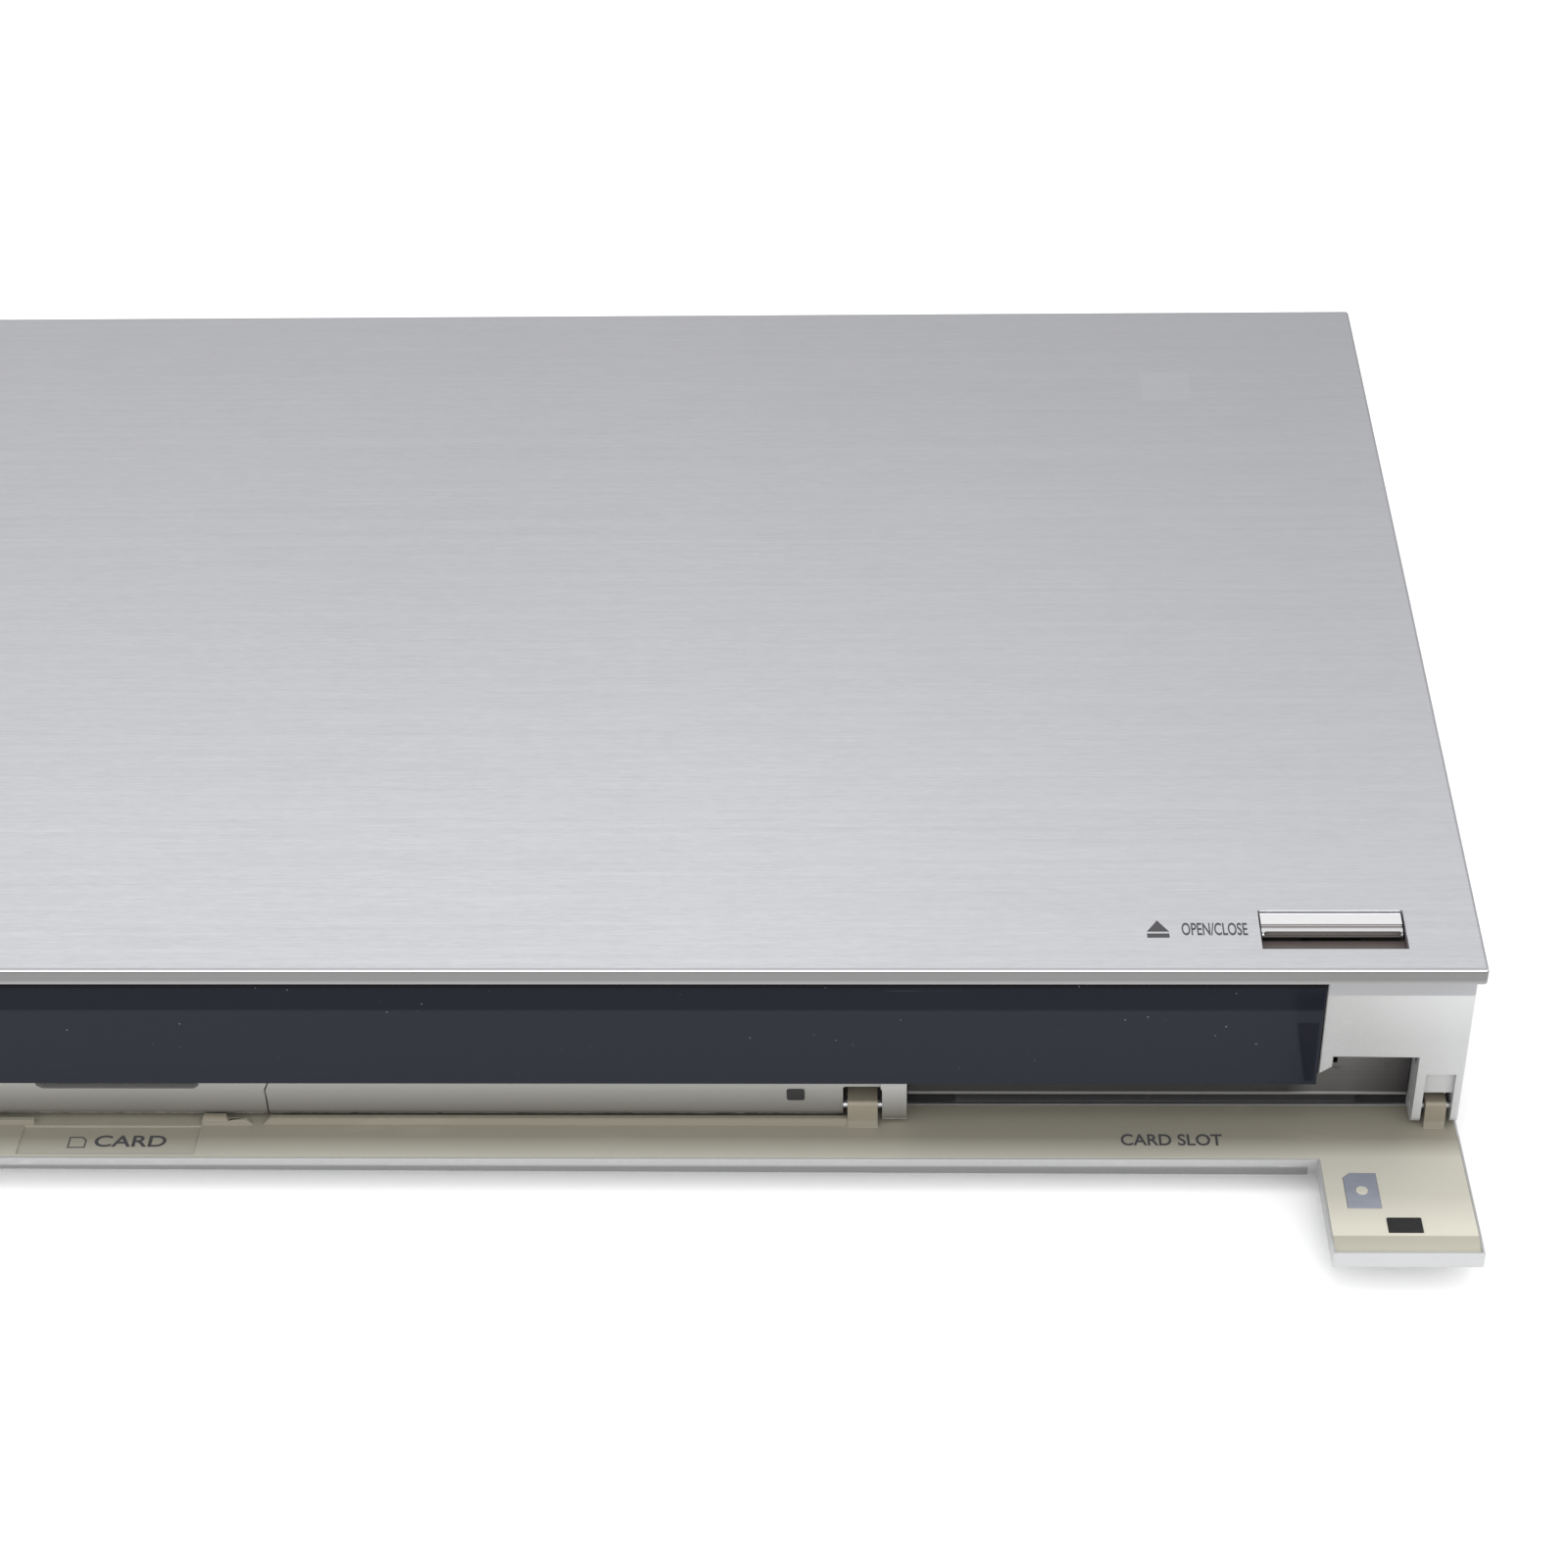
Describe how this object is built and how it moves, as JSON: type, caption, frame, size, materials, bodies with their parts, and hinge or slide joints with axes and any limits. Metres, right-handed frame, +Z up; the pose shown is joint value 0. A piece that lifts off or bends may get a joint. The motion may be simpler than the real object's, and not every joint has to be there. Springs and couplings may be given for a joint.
{
  "type": "disc recorder",
  "caption": "Slim full-width disc recorder with an open front flap, motor-driven disc tray, card bay, two keys in the brushed top and rear sockets.",
  "frame": {"origin": "on the standing surface, below the middle of the whole with its flap open", "axes": "+X to the right as seen from the front, +Y to the rear, +Z up"},
  "size_m": [0.43, 0.2109, 0.041],
  "materials": {
    "brushed_top": "fine hairline grain",
    "cover_steel": "satin",
    "zinc_steel": "zinc plated",
    "silver_plastic": "satin silver",
    "beige_plastic": "satin",
    "grey_bar": "satin metallic",
    "smoked": "smoked gloss",
    "tray_face": "gloss",
    "black_plastic": "fine texture",
    "foot_rubber": "matt",
    "screw_steel": "plated",
    "pin_steel": "ground",
    "catch_steel": "cold rolled",
    "black_foam": "foam",
    "magnet": "ferrite",
    "mirror_key": "mirror",
    "circuit_board": "solder mask",
    "gear_plastic": "natural",
    "motor_can": "plated",
    "turntable": "satin",
    "lens_glass": "clear",
    "display": "dark glass",
    "heatsink": "extruded",
    "nickel": "nickel",
    "ferrite": "ferrite",
    "disk_case": "cast"
  },
  "bodies": {
    "cabinet": {"top_panel": "brushed_top", "top_cover": "cover_steel", "bottom_chassis": "zinc_steel", "rear_panel": "zinc_steel", "card_shield": "zinc_steel", "drive_cover": "zinc_steel", "disk_bracket": "zinc_steel", "tuner_can": "zinc_steel", "card_reader": "zinc_steel", "memory_reader": "zinc_steel", "right_bezel": "silver_plastic", "left_bezel": "silver_plastic", "trim_bar": "grey_bar", "slot_bar": "grey_bar", "display_window": "smoked", "front_frame": "black_plastic", "drive_base": "black_plastic", "key_wells": "black_plastic", "fan_frame": "black_plastic", "ac_inlet": "black_plastic", "feet": "foot_rubber", "drive_belt": "foot_rubber", "cover_screws": "screw_steel", "hinge_pins": "pin_steel", "flap_magnet": "magnet", "key_boards": "circuit_board", "front_board": "circuit_board", "main_board": "circuit_board", "power_board": "circuit_board", "loading_motor": "motor_can", "display_module": "display", "heatsink": "heatsink", "antenna_sockets": "nickel", "av_jacks": "nickel", "video_socket": "nickel", "network_socket": "nickel", "transformer": "ferrite", "hard_disk": "disk_case"},
    "flap": {"flap_panel": "silver_plastic", "flap_liner": "beige_plastic", "catch_plate": "catch_steel", "cushion_pad": "black_foam"},
    "tray": {"tray_front": "tray_face", "disc_tray": "black_plastic", "tray_rack": "gear_plastic"},
    "pinion": {"loading_gear": "gear_plastic"},
    "pulley": {"motor_pulley": "gear_plastic"},
    "deck": {"lift_deck": "motor_can", "spindle_motor": "motor_can", "guide_rods": "pin_steel", "sled_motor": "motor_can"},
    "platter": {"turntable": "turntable"},
    "sled": {"pickup": "black_plastic", "pickup_lens": "lens_glass"},
    "screw": {"lead_screw": "pin_steel"},
    "puck": {"clamp_puck": "black_plastic"},
    "rotor": {"fan_rotor": "black_plastic"},
    "eject_key": {"eject_button": "mirror_key"},
    "power_key": {"power_button": "mirror_key"}
  },
  "joints": [
    {"name": "flap_hinge", "type": "hinge", "parent": "cabinet", "child": "flap", "pos_m": [0, -0.07561, 0.0085], "axis": [-1, 0, 0], "range_deg": [0, 85]},
    {"name": "tray_slide", "type": "slide", "parent": "cabinet", "child": "tray", "axis": [0, -1, 0], "range_m": [0, 0.128]},
    {"name": "pinion_spin", "type": "hinge", "parent": "cabinet", "child": "pinion", "pos_m": [-0.0745, -0.05371, 0.016], "axis": [0, 0, -1], "range_deg": [0, 1224]},
    {"name": "pulley_spin", "type": "hinge", "parent": "cabinet", "child": "pulley", "pos_m": [-0.102, -0.04971, 0.015], "axis": [0, 0, -1], "range_deg": [0, 3769]},
    {"name": "deck_lift", "type": "hinge", "parent": "cabinet", "child": "deck", "pos_m": [-0.126, 0.06229, 0.0115], "axis": [-1, 0, 0], "range_deg": [0, 4.45]},
    {"name": "platter_spin", "type": "hinge", "parent": "deck", "child": "platter", "pos_m": [-0.126, -0.01371, 0.017], "axis": [0, 0, 1], "continuous": true},
    {"name": "sled_slide", "type": "slide", "parent": "deck", "child": "sled", "axis": [0, 1, 0], "range_m": [0, 0.034]},
    {"name": "screw_spin", "type": "hinge", "parent": "deck", "child": "screw", "pos_m": [-0.0995, 0.03329, 0.0137], "axis": [0, 1, 0], "range_deg": [0, 4082]},
    {"name": "puck_spin", "type": "hinge", "parent": "cabinet", "child": "puck", "pos_m": [-0.126, -0.01371, 0.03], "axis": [0, 0, 1], "continuous": true},
    {"name": "rotor_spin", "type": "hinge", "parent": "cabinet", "child": "rotor", "pos_m": [-0.006, 0.08929, 0.0214], "axis": [0, 1, 0], "continuous": true},
    {"name": "eject_press", "type": "slide", "parent": "cabinet", "child": "eject_key", "axis": [0, 0, -1], "range_m": [0, 0.0005], "stiffness_N_per_m": 200, "springref_m": -0.002},
    {"name": "power_press", "type": "slide", "parent": "cabinet", "child": "power_key", "axis": [0, 0, -1], "range_m": [0, 0.0005], "stiffness_N_per_m": 200, "springref_m": -0.002}
  ],
  "couplings": [
    {"joint": "pinion_spin", "follows": "tray_slide", "rad_per_m": 166.67},
    {"joint": "pulley_spin", "follows": "tray_slide", "rad_per_m": 513.7},
    {"joint": "screw_spin", "follows": "sled_slide", "rad_per_m": 2094.4}
  ]
}
